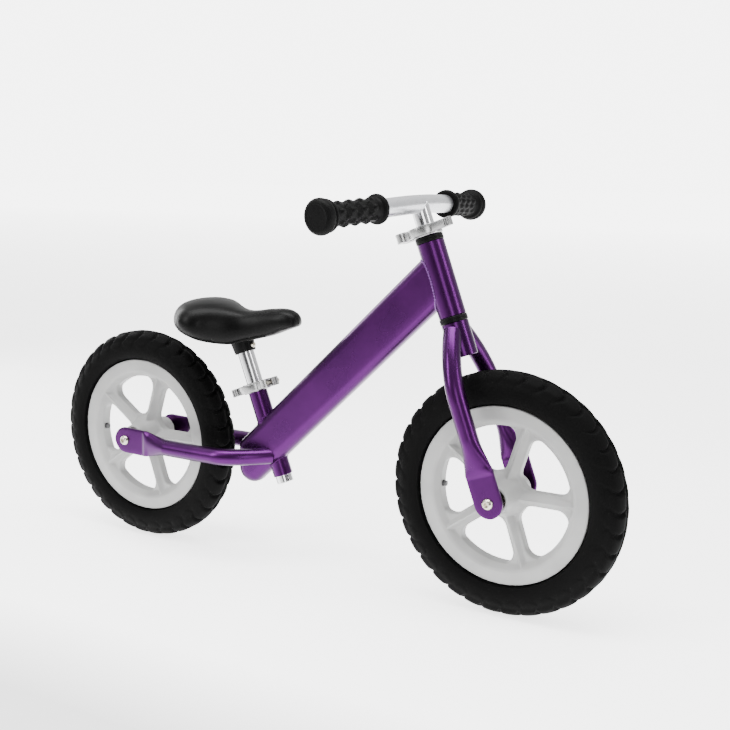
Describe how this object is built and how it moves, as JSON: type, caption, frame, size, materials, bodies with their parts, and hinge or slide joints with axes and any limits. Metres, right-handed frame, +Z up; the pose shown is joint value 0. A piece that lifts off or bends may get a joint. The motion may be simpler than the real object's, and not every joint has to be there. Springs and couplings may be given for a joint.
{
  "type": "balance bike",
  "caption": "Child's balance bike with moulded spoked wheels, foam tyres, an oval main tube, a turning fork and a saddle and handlebar that slide in quick-release clamps.",
  "frame": {"origin": "on the ground, midway between the two axles, in the bike's middle plane", "axes": "+X forward along the bike, +Y to the rider's left, +Z up"},
  "size_m": [0.8532, 0.3764, 0.4976],
  "materials": {
    "purple_frame": "satin metallic purple anodised aluminium",
    "satin_aluminium": "satin",
    "polished_aluminium": "polished",
    "plated_steel": "bright zinc plated",
    "tyre_foam": "matt closed-cell foam",
    "wheel_nylon": "light grey moulded nylon",
    "grip_rubber": "matt soft rubber",
    "saddle_cover": "satin black soft plastic",
    "black_plastic": "satin black"
  },
  "bodies": {
    "frame": {"chainstay_left": "purple_frame", "chainstay_right": "purple_frame", "head_tube": "purple_frame", "headset_bearing_lower": "plated_steel", "headset_bearing_upper": "plated_steel", "headset_cup_lower": "black_plastic", "headset_cup_upper": "black_plastic", "main_tube": "purple_frame", "rear_axle": "plated_steel", "rear_axle_bolt_left": "plated_steel", "rear_axle_bolt_right": "plated_steel", "rear_axle_spacer_left": "black_plastic", "rear_axle_spacer_right": "black_plastic", "seat_clamp_collar": "polished_aluminium", "seat_clamp_nut": "plated_steel", "seat_clamp_skewer": "plated_steel", "seat_tube": "purple_frame"},
    "steering": {"fork_blade_left": "purple_frame", "fork_blade_right": "purple_frame", "front_axle": "plated_steel", "front_axle_bolt_left": "plated_steel", "front_axle_bolt_right": "plated_steel", "front_axle_spacer_left": "black_plastic", "front_axle_spacer_right": "black_plastic", "handlebar_clamp_collar": "polished_aluminium", "handlebar_clamp_nut": "plated_steel", "handlebar_clamp_skewer": "plated_steel", "steerer_and_crown": "purple_frame"},
    "handlebar": {"grip_left": "grip_rubber", "grip_right": "grip_rubber", "handlebar": "satin_aluminium", "stem_tube": "satin_aluminium"},
    "front_wheel": {"front_bearing_left": "plated_steel", "front_bearing_right": "plated_steel", "front_bearing_spacer": "plated_steel", "front_tyre": "tyre_foam", "front_wheel_moulding": "wheel_nylon"},
    "rear_wheel": {"rear_bearing_left": "plated_steel", "rear_bearing_right": "plated_steel", "rear_bearing_spacer": "plated_steel", "rear_tyre": "tyre_foam", "rear_wheel_moulding": "wheel_nylon"},
    "seat": {"saddle_base": "black_plastic", "saddle_cover": "saddle_cover", "saddle_screw": "plated_steel", "seat_post": "polished_aluminium"},
    "handlebar_lever": {"handlebar_clamp_lever": "polished_aluminium", "handlebar_lever_pin": "plated_steel"},
    "seat_lever": {"seat_clamp_lever": "polished_aluminium", "seat_lever_pin": "plated_steel"}
  },
  "joints": [
    {"name": "steering", "type": "hinge", "parent": "frame", "child": "steering", "pos_m": [0.27865, 0, 0.148], "axis": [-0.342, 0, 0.9397], "range_deg": [-90, 90]},
    {"name": "front_wheel_spin", "type": "hinge", "parent": "steering", "child": "front_wheel", "pos_m": [0.27865, 0, 0.148], "axis": [0, 1, 0], "continuous": true},
    {"name": "rear_wheel_spin", "type": "hinge", "parent": "frame", "child": "rear_wheel", "pos_m": [-0.27865, 0, 0.148], "axis": [0, 1, 0], "continuous": true},
    {"name": "handlebar_height", "type": "slide", "parent": "steering", "child": "handlebar", "axis": [-0.342, 0, 0.9397], "range_m": [0, 0.07]},
    {"name": "seat_height", "type": "slide", "parent": "frame", "child": "seat", "axis": [-0.3502, 0, 0.9367], "range_m": [-0.02, 0.065]},
    {"name": "handlebar_lever_turn", "type": "hinge", "parent": "steering", "child": "handlebar_lever", "pos_m": [0.14252, -0.0138, 0.44309], "axis": [-0.342, 0, 0.9397], "range_deg": [-115, 0]},
    {"name": "seat_lever_turn", "type": "hinge", "parent": "frame", "child": "seat_lever", "pos_m": [-0.06179, -0.0138, 0.24558], "axis": [-0.3502, 0, 0.9367], "range_deg": [0, 115]}
  ]
}
